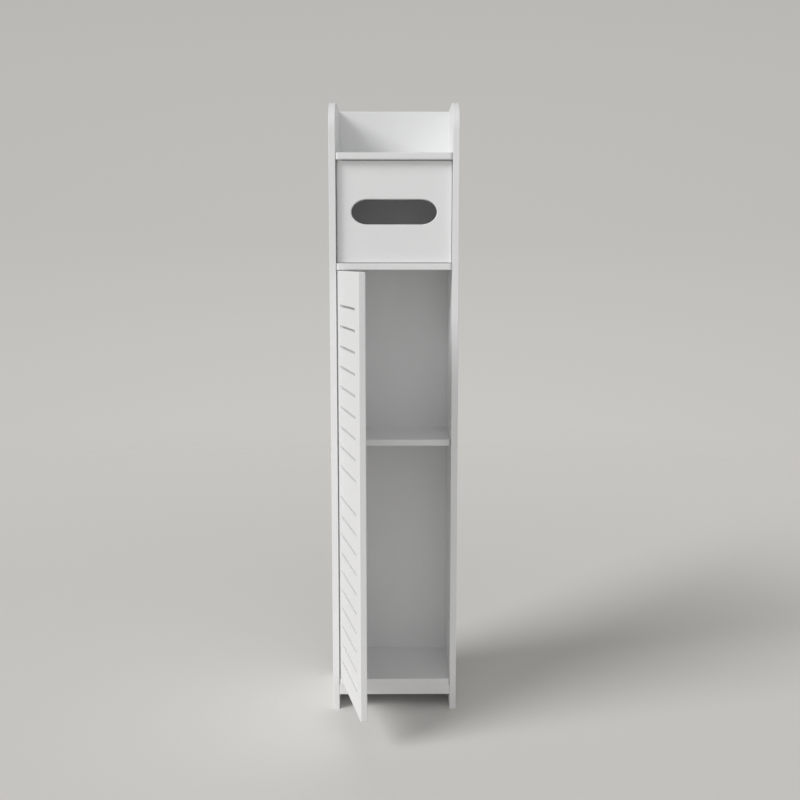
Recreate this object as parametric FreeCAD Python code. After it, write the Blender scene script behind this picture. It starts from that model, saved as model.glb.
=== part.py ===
"""Slim free-standing bathroom cabinet: an open tray on top, a tissue compartment behind a small slotted door,
and a two-storey cupboard behind a tall louvred door, which is stored standing open.

Millimetres. +Z is up and the front faces -Y. The origin is the middle of the back edge at floor level,
where the unit meets the wall and the floor.
"""

import FreeCAD
import Part
import math
import os

V = FreeCAD.Vector
UP = V(0, 0, 1)
DOWN = V(0, 0, -1)
RIGHT = V(1, 0, 0)
LEFT = V(-1, 0, 0)
FRONT = V(0, -1, 0)
BACK = V(0, 1, 0)
TINY = 1e-6

# Carcass boards, and the housings in the side panels that take the shelf ends and the back panel
width = 165.0
depth = 120.0
height = 800.0
board = 8.5
back_board = 6.0
edge_round = 1.0
side_round = 0.5
shelf_corner_radius = 4.0
shelf_lip = 0.8
top_corner_radius = 36.0
housing_depth = 3.0
housing_stop = 10.0

# Clear heights, from the floor up and from the top down
floor_gap = 20.5
kick_height = 13.5
lower_height = 316.0
tissue_height = 129.5
tray_height = 65.5

# Doors: gap beside them, how far they sit behind the front edges, and where they stop
door_gap = 0.6
door_recess = 2.0
tissue_recess = 7.0
stop_gap = 0.3
door_open_angle = 77.0

# Louvre slits in the tall door, in two fields with a plain rail between them
upper_slits = 9
lower_slits = 10
slit_height = 3.0
slit_stile = 23.0
top_rail = 43.8
upper_field = 206.7
middle_rail = 41.0
bottom_rail = 29.1

# Paper slot in the small door, with half-ellipse ends and a bevelled rim
slot_length = 109.0
slot_height = 31.5
slot_end = 20.5
slot_bevel = 0.8

# Pivot pins and the flanged bushes that they turn in
pin_radius = 2.0
pin_in_door = 14.0
running_gap = 0.05
bush_wall = 1.0
bush_web = 0.9
flange_lip = 0.9
flange_thickness = 0.8
thrust_gap = 0.1

# Magnets, the steel discs that they hold, and the small door's stop block
seat_gap = 0.05
magnet_radius = 3.0
magnet_length = 3.0
strike_radius = 4.0
strike_thickness = 1.0
catch_inset = 12.0
stop_width = 18.0
stop_depth = 12.0
stop_height = 15.0

# Planes of the carcass
front = -depth
lip_front = front - shelf_lip
inner = width / 2 - board
housed = inner + housing_depth
back_face = -back_board

# Levels of the boards
kick_bottom = floor_gap
bottom_under = kick_bottom + kick_height
bottom_top = bottom_under + board
middle_under = bottom_top + lower_height
tray_top = height - tray_height
tray_under = tray_top - board
tissue_top = tray_under - tissue_height
tissue_under = tissue_top - board

# Doors as they close: end gaps, pivot axes, edges and faces
end_gap = flange_thickness + thrust_gap
half_board = board / 2
pivot_x = -inner + door_gap + half_board
door_hinge_edge = pivot_x - half_board
door_free_edge = inner - door_gap
door_middle_x = (door_hinge_edge + door_free_edge) / 2
door_pivot_y = front + door_recess + half_board
tissue_pivot_y = front + tissue_recess + half_board
door_inner_face = door_pivot_y + half_board
tissue_inner_face = tissue_pivot_y + half_board

# What the doors close against
middle_front = door_inner_face + stop_gap
stop_front = tissue_inner_face + stop_gap

# Bushes and magnets
bore_radius = pin_radius + running_gap
bush_radius = bore_radius + bush_wall
bush_depth = (board - bush_web) / 2
door_catch = V(inner - catch_inset, 0, middle_under + half_board)
tissue_catch = V(inner - stop_width / 2, 0, tray_under - stop_height / 2)

# Front edge and underside of each housed shelf
shelf_seats = [
    (front, bottom_under),
    (middle_front, middle_under),
    (lip_front, tissue_under),
    (lip_front, tray_under),
]


def block(x0, x1, y0, y1, z0, z1):
    """A box between two corners."""
    return Part.makeBox(x1 - x0, y1 - y0, z1 - z0, V(x0, y0, z0))


def disc(radius, length, base, direction):
    """A round bar that starts at a point and runs in a direction."""
    return Part.makeCylinder(radius, length, base, direction)


def lies_at(edge, axis, value):
    """Whether both ends of an edge have this coordinate."""
    return all(abs(getattr(vertex.Point, axis) - value) < TINY for vertex in edge.Vertexes)


def rounded(solid, radius, wanted):
    """The solid with the edges that the test picks rounded over."""
    return solid.makeFillet(radius, [edge for edge in solid.Edges if wanted(edge)])


def arc(centre, radius, start, end):
    """A level circular edge between two angles in degrees."""
    circle = Part.Circle(centre, UP, radius)
    return Part.ArcOfCircle(circle, math.radians(start), math.radians(end)).toShape()


def line(start, end):
    """A straight edge."""
    return Part.makeLine(start, end)


def save(name, solid):
    """Write one node."""
    solid.exportStep("parts/" + name + ".step")


def side_panel(outer, towards):
    """Side panel with a rounded top front corner, thick from its outer face towards the middle."""
    corner = V(outer, front + top_corner_radius, height - top_corner_radius)
    foot_back = V(outer, 0, 0)
    foot_front = V(outer, front, 0)
    front_end = V(outer, front, corner.z)
    top_end = V(outer, corner.y, height)
    top_back = V(outer, 0, height)
    halfway = corner + (FRONT + UP).normalize() * top_corner_radius
    outline = Part.Wire([
        line(foot_back, foot_front),
        line(foot_front, front_end),
        Part.Arc(front_end, halfway, top_end).toShape(),
        line(top_end, top_back),
        line(top_back, foot_back),
    ])
    panel = Part.Face(outline).extrude(towards * board)

    def shows(edge):
        flat = lies_at(edge, "x", outer) or lies_at(edge, "x", outer + towards.x * board)
        return flat and not lies_at(edge, "z", 0) and not lies_at(edge, "y", 0)

    housings = [block(-housed, housed, back_face, 0, 0, height)]
    for shelf_front, under in shelf_seats:
        housings.append(block(-housed, housed, shelf_front + housing_stop, back_face, under, under + board))
    return rounded(panel, side_round, shows).cut(housings)


def back_panel():
    """Board from the floor to the tops of the side panels, let into the back of both."""
    panel = block(-housed, housed, back_face, 0, 0, height)

    def shows(edge):
        return lies_at(edge, "z", height) and lies_at(edge, "y", back_face)

    return rounded(panel, edge_round, shows)


def shelf(shelf_front, under, joined_level=None):
    """Housed board with rounded front corners, its front edges eased except where another piece joins."""
    plain = block(-inner, inner, shelf_front, back_face, under, under + board)

    def at_a_corner(edge):
        return lies_at(edge, "y", shelf_front) and (lies_at(edge, "x", -inner) or lies_at(edge, "x", inner))

    def runs_level(edge):
        joined = joined_level is not None and lies_at(edge, "z", joined_level)
        return lies_at(edge, "y", shelf_front) and not at_a_corner(edge) and not joined

    eased = rounded(plain, edge_round, runs_level)
    cornered = rounded(plain, shelf_corner_radius, at_a_corner)
    tongues = block(-housed, housed, shelf_front + housing_stop, back_face, under, under + board)
    return eased.common(cornered).fuse(tongues).removeSplitter()


def kick_strip():
    """Strip under the front of the bottom board, its front edges eased except where it meets the board."""
    strip = block(-inner, inner, front, front + board, kick_bottom, bottom_under)

    def shows(edge):
        return lies_at(edge, "y", front) and not lies_at(edge, "z", bottom_under)

    return rounded(strip, edge_round, shows)


def bush_seat(pivot_y, level, into):
    """Blind hole in a shelf for a bush."""
    return disc(bush_radius + seat_gap, bush_depth, V(pivot_x, pivot_y, level), into)


def bush(pivot_y, level, into):
    """Flanged bush: its sleeve goes into the shelf, and its flange spaces the door from it."""
    seat = V(pivot_x, pivot_y, level)
    sleeve = disc(bush_radius, bush_depth, seat, into)
    flange = disc(bush_radius + flange_lip, flange_thickness, seat, into * -1)
    bore = disc(bore_radius, bush_depth + flange_thickness, seat - into * flange_thickness, into)
    return sleeve.fuse(flange).cut(bore).removeSplitter()


def pin(pivot_y, door_end, outwards):
    """Pivot pin: seated in the end of a door and reaching through the bush's flange into its sleeve."""
    outside = end_gap + bush_depth - thrust_gap
    base = V(pivot_x, pivot_y, door_end) - outwards * pin_in_door
    return disc(pin_radius, pin_in_door + outside, base, outwards)


def magnet(catch, face):
    """Disc magnet, flush in a front face."""
    return disc(magnet_radius, magnet_length, V(catch.x, face, catch.z), BACK)


def magnet_seat(catch, face):
    """Blind hole for a magnet."""
    return disc(magnet_radius + seat_gap, magnet_length, V(catch.x, face, catch.z), BACK)


def strike(catch, face):
    """Steel disc, flush in the inner face of a door."""
    return disc(strike_radius, strike_thickness, V(catch.x, face, catch.z), FRONT)


def strike_seat(catch, face):
    """Blind hole for a steel disc."""
    return disc(strike_radius + seat_gap, strike_thickness, V(catch.x, face, catch.z), FRONT)


def door_blank(pivot_y, bottom, top):
    """Closed door without cut-outs: full round at the hinge edge, eased at the free edge, and square ends."""
    near = pivot_y - half_board
    far = pivot_y + half_board
    corner_x = door_free_edge - edge_round
    outline = Part.Wire([
        line(V(pivot_x, near, bottom), V(corner_x, near, bottom)),
        arc(V(corner_x, near + edge_round, bottom), edge_round, 270, 360),
        line(V(door_free_edge, near + edge_round, bottom), V(door_free_edge, far - edge_round, bottom)),
        arc(V(corner_x, far - edge_round, bottom), edge_round, 0, 90),
        line(V(corner_x, far, bottom), V(pivot_x, far, bottom)),
        arc(V(pivot_x, pivot_y, bottom), half_board, 90, 270),
    ])
    return Part.Face(outline).extrude(UP * (top - bottom))


def pin_holes(pivot_y, bottom, top):
    """Blind holes for a door's pins, in its lower and upper end."""
    lower = disc(pin_radius + seat_gap, pin_in_door, V(pivot_x, pivot_y, bottom), UP)
    upper = disc(pin_radius + seat_gap, pin_in_door, V(pivot_x, pivot_y, top), DOWN)
    return [lower, upper]


def slit_levels(bottom, top):
    """Heights of the louvre slits, field by field from the top."""
    first = top - top_rail
    second = first - upper_field - middle_rail
    upper_pitch = upper_field / (upper_slits - 1)
    lower_pitch = (second - bottom - bottom_rail) / (lower_slits - 1)
    upper = [first - upper_pitch * step for step in range(upper_slits)]
    return upper + [second - lower_pitch * step for step in range(lower_slits)]


def slit(level):
    """What a round-ended cutter takes out of the tall door for one slit."""
    half = slit_height / 2
    start = door_hinge_edge + slit_stile + half
    end = door_free_edge - slit_stile - half
    near = door_pivot_y - half_board
    run = block(start, end, near, door_inner_face, level - half, level + half)
    ends = [disc(half, board, V(x, near, level), BACK) for x in (start, end)]
    return run.fuse(ends).removeSplitter()


def paper_slot(level):
    """What the paper slot takes out of the small door."""
    reach = slot_length / 2 - slot_end
    rise = UP * (slot_height / 2)
    middle = V(door_middle_x, tissue_pivot_y - half_board, level)

    def half_ellipse(side):
        centre = middle + side * reach
        ellipse = Part.Ellipse(centre + side * slot_end, centre + rise, centre)
        return Part.ArcOfEllipse(ellipse, math.radians(-90), math.radians(90)).toShape()

    outline = Part.Wire([
        line(middle + LEFT * reach - rise, middle + RIGHT * reach - rise),
        half_ellipse(RIGHT),
        line(middle + RIGHT * reach + rise, middle + LEFT * reach + rise),
        half_ellipse(LEFT),
    ])
    return Part.Face(outline).extrude(BACK * board)


def swung(shape):
    """A piece of the tall door, turned from where it closes to where it is stored."""
    copy = shape.copy()
    copy.rotate(V(pivot_x, door_pivot_y, 0), DOWN, door_open_angle)
    return copy


def make_carcass():
    """Side panels, back, shelves and kick strip."""
    save("left_side_panel", side_panel(-width / 2, RIGHT))
    save("right_side_panel", side_panel(width / 2, LEFT))
    save("back_panel", back_panel())
    save("tray_shelf", shelf(lip_front, tray_under).cut(bush_seat(tissue_pivot_y, tray_under, UP)))
    tissue_seats = [bush_seat(tissue_pivot_y, tissue_top, DOWN), bush_seat(door_pivot_y, tissue_under, UP)]
    save("tissue_shelf", shelf(lip_front, tissue_under).cut(tissue_seats))
    save("middle_shelf", shelf(middle_front, middle_under).cut(magnet_seat(door_catch, middle_front)))
    bottom = shelf(front, bottom_under, joined_level=bottom_under)
    save("bottom_board", bottom.cut(bush_seat(door_pivot_y, bottom_top, DOWN)))
    save("kick_strip", kick_strip())


def make_catches():
    """The small door's stop block, and the magnets that hold both doors shut."""
    stop_back = stop_front + stop_depth
    stop = block(inner - stop_width, inner, stop_front, stop_back, tray_under - stop_height, tray_under)
    save("tissue_stop_block", stop.cut(magnet_seat(tissue_catch, stop_front)))
    save("stop_magnet", magnet(tissue_catch, stop_front))
    save("shelf_magnet", magnet(door_catch, middle_front))


def make_bushes():
    """Pivot bushes above and below each door."""
    save("door_bush_top", bush(door_pivot_y, tissue_under, UP))
    save("door_bush_bottom", bush(door_pivot_y, bottom_top, DOWN))
    save("tissue_door_bush_top", bush(tissue_pivot_y, tray_under, UP))
    save("tissue_door_bush_bottom", bush(tissue_pivot_y, tissue_top, DOWN))


def make_louvre_door():
    """Tall door with eased ends, its slits, pins and steel disc, stored open."""
    bottom = bottom_top + end_gap
    top = tissue_under - end_gap

    def at_an_end(edge):
        return lies_at(edge, "z", bottom) or lies_at(edge, "z", top)

    door = rounded(door_blank(door_pivot_y, bottom, top), edge_round, at_an_end)
    slits = [slit(level) for level in slit_levels(bottom, top)]
    seats = pin_holes(door_pivot_y, bottom, top) + [strike_seat(door_catch, door_inner_face)]
    save("louvre_door", swung(door.cut(slits + seats)))
    save("door_strike_disc", swung(strike(door_catch, door_inner_face)))
    save("door_pin_top", swung(pin(door_pivot_y, top, UP)))
    save("door_pin_bottom", swung(pin(door_pivot_y, bottom, DOWN)))


def make_tissue_door():
    """Small door with its paper slot, pins and steel disc, stored shut."""
    bottom = tissue_top + end_gap
    top = tray_under - end_gap
    level = (bottom + top) / 2
    outer_face = tissue_pivot_y - half_board
    seats = pin_holes(tissue_pivot_y, bottom, top) + [strike_seat(tissue_catch, tissue_inner_face)]
    door = door_blank(tissue_pivot_y, bottom, top).cut([paper_slot(level)] + seats)

    def on_rim(edge):
        beside = all(abs(vertex.Z - level) < slot_height / 2 + TINY for vertex in edge.Vertexes)
        return beside and lies_at(edge, "y", outer_face)

    save("tissue_door", door.makeChamfer(slot_bevel, [edge for edge in door.Edges if on_rim(edge)]))
    save("tissue_door_strike_disc", strike(tissue_catch, tissue_inner_face))
    save("tissue_door_pin_top", pin(tissue_pivot_y, top, UP))
    save("tissue_door_pin_bottom", pin(tissue_pivot_y, bottom, DOWN))


os.makedirs("parts", exist_ok=True)
make_carcass()
make_catches()
make_bushes()
make_louvre_door()
make_tissue_door()
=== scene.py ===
"""Looks of the slim bathroom cabinet: satin white boards, caps over the assembly screws, nylon bushes,
zinc-plated pins and discs, and coated magnets, on a plain pale floor that fades into its backdrop.

Lengths are in metres, in the CAD frame, and noise scales are per metre. A bump is given as strength and height.
"""

import math

import bmesh
import bpy
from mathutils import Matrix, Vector


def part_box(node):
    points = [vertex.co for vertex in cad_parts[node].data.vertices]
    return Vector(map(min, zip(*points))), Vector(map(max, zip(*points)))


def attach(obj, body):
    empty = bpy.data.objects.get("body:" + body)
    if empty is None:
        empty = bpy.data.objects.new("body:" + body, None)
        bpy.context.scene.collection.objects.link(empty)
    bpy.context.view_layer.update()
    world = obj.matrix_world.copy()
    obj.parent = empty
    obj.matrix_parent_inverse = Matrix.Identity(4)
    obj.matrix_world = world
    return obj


# Camera of the photograph: place, turn to the right and tilt down in degrees, lens and sensor in millimetres
camera_place = (-0.0004, -1.4466, 0.6022)
camera_turn = 0.337
camera_tilt = 7.78
camera_lens = 46.5
sensor = 36.0

# Soft key light from the upper left front, with its spread in degrees
key_from = (-1.46, -0.9, 1.18)
key_strength = 1.835
key_spread = 28.0

# Studio round the object: broad lobes of light with their direction, sharpness and strength
studio_lobes = [
    ((0.0, -1.0, 0.0), 2.0, 0.505),
    ((-1.0, 0.0, 0.0), 2.0, 0.45),
    ((1.0, 0.0, 0.0), 2.0, 0.45),
    ((0.0, -0.643, 0.766), 12.0, 0.85),
]

# Backdrop behind the object: a lobe of its own, a little darker towards its top
backdrop_axis = (0.0, 1.0, 0.0)
backdrop_sharpness = 2.0
backdrop_low = (0.64, 0.625, 0.596)
backdrop_high = (0.523, 0.512, 0.489)
backdrop_span = (-0.25, 0.03)

# Floor: how far it reaches, where it fades into the backdrop, and its paint
floor_half = 9.0
fade_start = 0.6
fade_end = 2.4
floor_colour = (0.815, 0.80, 0.77)
floor_roughness = 0.9
floor_gloss = 0.1

# Range in which most of a noise pattern lies
noise_range = (0.3, 0.7)

# Board film: white with a faint cloud of tone, fine grain along the board, and orange peel
white = (0.875, 0.877, 0.88)
white_shade = (0.852, 0.853, 0.854)
cloud_scale = 9.0
cloud_range = (0.35, 0.65)
cloud_share = 0.6
grain_across = 1100.0
grain_along = 34.0
grain_share = 0.4
peel_scale = 420.0
film_roughness = (0.36, 0.5)
film_bump = (0.5, 0.0002)

# Board edges: rounded off a little, and polished here and there by handling
edge_white = (0.89, 0.888, 0.88)
edge_width = 0.0007
edge_samples = 4
edge_facing = (0.75, 0.98)
polish_scale = 60.0
polish_range = (0.4, 0.6)
least_polish = 0.3
polish_gloss = 0.1

# Caps over the assembly screws: size, facets, and how far they sit from the side panels' front and back edges
cap_radius = 0.0055
cap_rise = 0.0004
cap_fullness = 4
cap_sides = 32
cap_rings = 5
cap_inset = 0.03
cap_white = (0.855, 0.855, 0.85)

# Moulded plastic of the caps and the nylon bushes
nylon = (0.86, 0.85, 0.81)
mottle_scale = 900.0
mottle_share = 0.3
moulded_roughness = (0.42, 0.58)
moulded_bump = (0.15, 0.0001)

# Zinc plate of the pins and discs
zinc = (0.62, 0.62, 0.63)
crystal_scale = 700.0
crystal_share = 0.35
scratch_scale = (4000.0, 4000.0, 120.0)
zinc_roughness = (0.24, 0.42)
zinc_bump = (0.2, 0.00005)

# White coating of the magnets
coating = (0.88, 0.88, 0.87)
coating_shade = (0.82, 0.82, 0.8)
coating_scale = 1500.0
coating_share = 0.5
coating_roughness = (0.28, 0.4)
coating_bump = (0.12, 0.00005)

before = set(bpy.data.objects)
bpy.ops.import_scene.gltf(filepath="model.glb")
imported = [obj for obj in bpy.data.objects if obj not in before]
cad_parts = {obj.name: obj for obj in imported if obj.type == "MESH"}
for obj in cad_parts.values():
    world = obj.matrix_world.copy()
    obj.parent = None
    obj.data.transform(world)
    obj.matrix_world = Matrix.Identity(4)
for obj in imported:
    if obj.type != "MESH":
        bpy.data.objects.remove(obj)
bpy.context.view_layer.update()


class Tree:
    """A node tree with short calls for adding and joining nodes."""

    def __init__(self, owner):
        owner.use_nodes = True
        self.tree = owner.node_tree
        self.tree.nodes.clear()

    def add(self, kind, settings=None, **inputs):
        """A node with its properties set and its inputs filled or joined."""
        node = self.tree.nodes.new(kind)
        for name, value in (settings or {}).items():
            setattr(node, name, value)
        for name, value in inputs.items():
            self.fill(node.inputs[name.replace("_", " ")], value)
        return node

    def fill(self, socket, value):
        """Give an input a plain value or another node's output."""
        if isinstance(value, bpy.types.NodeSocket):
            self.tree.links.new(value, socket)
        else:
            socket.default_value = value

    def maths(self, operation, *values):
        """The result of a sum on one to three numbers."""
        node = self.add("ShaderNodeMath", {"operation": operation})
        for socket, value in zip(node.inputs, values):
            self.fill(socket, value)
        return node.outputs["Value"]

    def vectors(self, operation, *values):
        """The node of a sum on one to three vectors."""
        node = self.add("ShaderNodeVectorMath", {"operation": operation})
        for socket, value in zip(node.inputs, values):
            self.fill(socket, value)
        return node

    def noise(self, coords, scale, detail=2.0, roughness=0.5):
        """Noise of a given scale."""
        node = self.add("ShaderNodeTexNoise", Vector=coords, Scale=scale, Detail=detail, Roughness=roughness)
        return node.outputs["Fac"]

    def stretched(self, coords, scale):
        """Coordinates with a scale of their own along each axis."""
        return self.add("ShaderNodeMapping", Vector=coords, Scale=scale).outputs["Vector"]

    def ramped(self, value, low, high, at_low, at_high):
        """A value mapped from one range to another, held at the ends."""
        node = self.add("ShaderNodeMapRange", Value=value)
        names = ("From Min", "From Max", "To Min", "To Max")
        for name, number in zip(names, (low, high, at_low, at_high)):
            self.fill(node.inputs[name], number)
        return node.outputs["Result"]

    def blended(self, share, first, second):
        """Two colours mixed by a share."""
        node = self.add("ShaderNodeMix", {"data_type": "RGBA"})
        self.fill(node.inputs["Factor"], share)
        sockets = [socket for socket in node.inputs if socket.type == "RGBA"]
        for socket, colour in zip(sockets, (first, second)):
            self.fill(socket, colour if isinstance(colour, bpy.types.NodeSocket) else rgba(colour))
        return [socket for socket in node.outputs if socket.type == "RGBA"][0]

    def bumped(self, height, strength, distance, **inputs):
        """A normal that a height pattern has roughened."""
        node = self.add("ShaderNodeBump", Strength=strength, Distance=distance, Height=height, **inputs)
        return node.outputs["Normal"]

    def surface(self, **inputs):
        """Principled shader joined to a material's output."""
        shader = self.add("ShaderNodeBsdfPrincipled", **inputs)
        self.add("ShaderNodeOutputMaterial", Surface=shader.outputs["BSDF"])


def rgba(colour):
    """A colour with full opacity."""
    return (*colour, 1.0)


def new_material(name):
    """An empty material, its node tree and its coordinates in the model."""
    material = bpy.data.materials.new(name)
    tree = Tree(material)
    coords = tree.add("ShaderNodeTexCoord").outputs["Object"]
    return material, tree, coords


def board_material(name, grain_scale):
    """Satin white film on board, with softened edges."""
    material, tree, coords = new_material(name)
    grain = tree.noise(tree.stretched(coords, grain_scale), 1.0, detail=3.0, roughness=0.6)
    peel = tree.noise(coords, peel_scale, detail=1.0)
    cloud = tree.noise(coords, cloud_scale, detail=3.0)
    soft = tree.add("ShaderNodeBevel", {"samples": edge_samples}, Radius=edge_width).outputs["Normal"]
    true = tree.add("ShaderNodeNewGeometry").outputs["Normal"]
    facing = tree.vectors("DOT_PRODUCT", soft, true).outputs["Value"]
    patchy = tree.ramped(tree.noise(coords, polish_scale), *polish_range, least_polish, 1.0)
    worn = tree.maths("MULTIPLY", tree.ramped(facing, *edge_facing, 1.0, 0.0), patchy)
    clouded = tree.ramped(cloud, *cloud_range, 0.0, cloud_share)
    grained = tree.ramped(grain, *noise_range, 0.0, grain_share)
    film = tree.blended(tree.maths("ADD", clouded, grained), white, white_shade)
    colour = tree.blended(worn, film, edge_white)
    satin = tree.ramped(grain, *noise_range, *film_roughness)
    roughness = tree.maths("SUBTRACT", satin, tree.maths("MULTIPLY", worn, polish_gloss))
    relief = tree.maths("ADD", grain, peel)
    tree.surface(Base_Color=colour, Roughness=roughness, Normal=tree.bumped(relief, *film_bump, Normal=soft))
    return material


def moulded_material(name, tint):
    """Moulded plastic: waxy and faintly mottled."""
    material, tree, coords = new_material(name)
    mottle = tree.noise(coords, mottle_scale, detail=3.0)
    colour = tree.blended(tree.ramped(mottle, *noise_range, 0.0, mottle_share), tint, white)
    roughness = tree.ramped(mottle, *noise_range, *moulded_roughness)
    tree.surface(Base_Color=colour, Roughness=roughness, Normal=tree.bumped(mottle, *moulded_bump))
    return material


def zinc_material():
    """Zinc-plated steel: fine cloudy crystals and drawn scratches along the pins."""
    material, tree, coords = new_material("zinc")
    scratch = tree.noise(tree.stretched(coords, scratch_scale), 1.0, detail=2.0)
    crystals = tree.noise(coords, crystal_scale, detail=3.0)
    colour = tree.blended(tree.ramped(crystals, *noise_range, 0.0, crystal_share), zinc, coating)
    roughness = tree.ramped(crystals, *noise_range, *zinc_roughness)
    tree.surface(Base_Color=colour, Metallic=1.0, Roughness=roughness, Normal=tree.bumped(scratch, *zinc_bump))
    return material


def coated_material():
    """White-coated magnet: smooth paint with a little orange peel and a faintly uneven tone."""
    material, tree, coords = new_material("coating")
    peel = tree.noise(coords, coating_scale, detail=1.0)
    colour = tree.blended(tree.ramped(peel, *noise_range, 0.0, coating_share), coating, coating_shade)
    roughness = tree.ramped(peel, *noise_range, *coating_roughness)
    tree.surface(Base_Color=colour, Roughness=roughness, Normal=tree.bumped(peel, *coating_bump))
    return material


def make_camera():
    """Camera at the photograph's place and angle."""
    data = bpy.data.cameras.new("camera")
    data.sensor_width = sensor
    data.lens = camera_lens
    camera = bpy.data.objects.new("camera", data)
    camera.location = camera_place
    camera.rotation_euler = (math.radians(90 - camera_tilt), 0, math.radians(-camera_turn))
    bpy.context.scene.collection.objects.link(camera)
    bpy.context.scene.camera = camera


def make_key():
    """Broad soft key light."""
    data = bpy.data.lights.new("key", "SUN")
    data.energy = key_strength
    data.angle = math.radians(key_spread)
    key = bpy.data.objects.new("key", data)
    key.rotation_euler = Vector(key_from).to_track_quat("Z", "Y").to_euler()
    bpy.context.scene.collection.objects.link(key)


def make_world():
    """Studio round the object: the backdrop and the lobes of light, added up."""
    world = bpy.data.worlds.new("studio")
    bpy.context.scene.world = world
    tree = Tree(world)
    direction = tree.add("ShaderNodeTexCoord").outputs["Generated"]

    def lobe(axis, sharpness):
        """Light that is full along its axis and falls to none at right angles to it."""
        towards = tree.vectors("DOT_PRODUCT", direction, axis).outputs["Value"]
        return tree.maths("POWER", tree.maths("MAXIMUM", towards, 0.0), sharpness)

    height = tree.add("ShaderNodeSeparateXYZ", Vector=direction).outputs["Z"]
    rise = tree.ramped(height, *backdrop_span, 0.0, 1.0)
    backdrop = tree.blended(rise, backdrop_low, backdrop_high)
    behind = lobe(backdrop_axis, backdrop_sharpness)
    total = tree.vectors("MULTIPLY", behind, backdrop).outputs["Vector"]
    for axis, sharpness, strength in studio_lobes:
        share = lobe(axis, sharpness)
        total = tree.vectors("MULTIPLY_ADD", share, (strength,) * 3, total).outputs["Vector"]
    background = tree.add("ShaderNodeBackground", Color=total)
    tree.add("ShaderNodeOutputWorld", Surface=background.outputs["Background"])


def floor_material():
    """Plain pale paint that turns clear far out."""
    material, tree, coords = new_material("floor")
    reach = tree.vectors("LENGTH", coords).outputs["Value"]
    paint = tree.add("ShaderNodeBsdfPrincipled", Base_Color=rgba(floor_colour), Roughness=floor_roughness,
                     Specular_IOR_Level=floor_gloss)
    clear = tree.add("ShaderNodeBsdfTransparent")
    mix = tree.add("ShaderNodeMixShader", Fac=tree.ramped(reach, fade_start, fade_end, 0.0, 1.0))
    tree.fill(mix.inputs[1], paint.outputs["BSDF"])
    tree.fill(mix.inputs[2], clear.outputs["BSDF"])
    tree.add("ShaderNodeOutputMaterial", Surface=mix.outputs["Shader"])
    return material


def make_floor():
    """Floor that lets the backdrop show where it turns clear."""
    mesh = bpy.data.meshes.new("floor")
    corners = [(-floor_half, -floor_half, 0), (floor_half, -floor_half, 0),
               (floor_half, floor_half, 0), (-floor_half, floor_half, 0)]
    mesh.from_pydata(corners, [], [(0, 1, 2, 3)])
    mesh.materials.append(floor_material())
    floor = bpy.data.objects.new("floor", mesh)
    bpy.context.scene.collection.objects.link(floor)


def cap_mesh():
    """Low dome turned about +Z, with its flat side on the origin."""
    shell = bmesh.new()
    turns = [2 * math.pi * side / cap_sides for side in range(cap_sides)]
    rings = []
    for ring in range(cap_rings):
        share = math.cos(math.radians(90 * ring / cap_rings))
        radius = cap_radius * share
        rise = cap_rise * (1 - share ** cap_fullness)
        rings.append([shell.verts.new((radius * math.cos(t), radius * math.sin(t), rise)) for t in turns])
    for outer, inner in zip(rings, rings[1:]):
        for side in range(cap_sides):
            after = (side + 1) % cap_sides
            shell.faces.new((outer[side], outer[after], inner[after], inner[side])).smooth = True
    shell.faces.new(rings[-1]).smooth = True
    shell.faces.new(reversed(rings[0]))
    mesh = bpy.data.meshes.new("screw_cap")
    shell.to_mesh(mesh)
    shell.free()
    return mesh


def make_caps():
    """Caps over the assembly screws, outside both side panels and level with the shelves."""
    mesh = cap_mesh()
    mesh.materials.append(moulded_material("cap_plastic", cap_white))
    for side, outwards in (("left", -1), ("right", 1)):
        low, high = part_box(side + "_side_panel")
        outer = low.x if outwards < 0 else high.x
        for shelf in ("tray_shelf", "tissue_shelf", "middle_shelf", "bottom_board"):
            level = sum(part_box(shelf), Vector()).z / 2
            for end, depth in (("front", low.y + cap_inset), ("back", high.y - cap_inset)):
                cap = bpy.data.objects.new(f"{side}_screw_cap_{shelf}_{end}", mesh)
                cap.location = (outer, depth, level)
                cap.rotation_euler = Vector((outwards, 0, 0)).to_track_quat("Z", "Y").to_euler()
                bpy.context.scene.collection.objects.link(cap)
                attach(cap, "carcass")


def dress(nodes, material):
    """Give CAD nodes a material."""
    for name in nodes:
        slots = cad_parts[name].data.materials
        slots.clear()
        slots.append(material)


uprights = ["left_side_panel", "right_side_panel", "back_panel", "louvre_door", "tissue_door"]
levels = ["tray_shelf", "tissue_shelf", "middle_shelf", "bottom_board", "kick_strip", "tissue_stop_block"]
bushes = ["door_bush_top", "door_bush_bottom", "tissue_door_bush_top", "tissue_door_bush_bottom"]
pins = ["door_pin_top", "door_pin_bottom", "tissue_door_pin_top", "tissue_door_pin_bottom"]
discs = ["door_strike_disc", "tissue_door_strike_disc"]
magnets = ["shelf_magnet", "stop_magnet"]
dress(uprights, board_material("board_upright", (grain_across, grain_across, grain_along)))
dress(levels, board_material("board_level", (grain_along, grain_across, grain_across)))
dress(bushes, moulded_material("nylon", nylon))
dress(pins + discs, zinc_material())
dress(magnets, coated_material())
make_caps()

make_camera()
make_key()
make_world()
make_floor()
bpy.context.scene.view_settings.view_transform = "Standard"
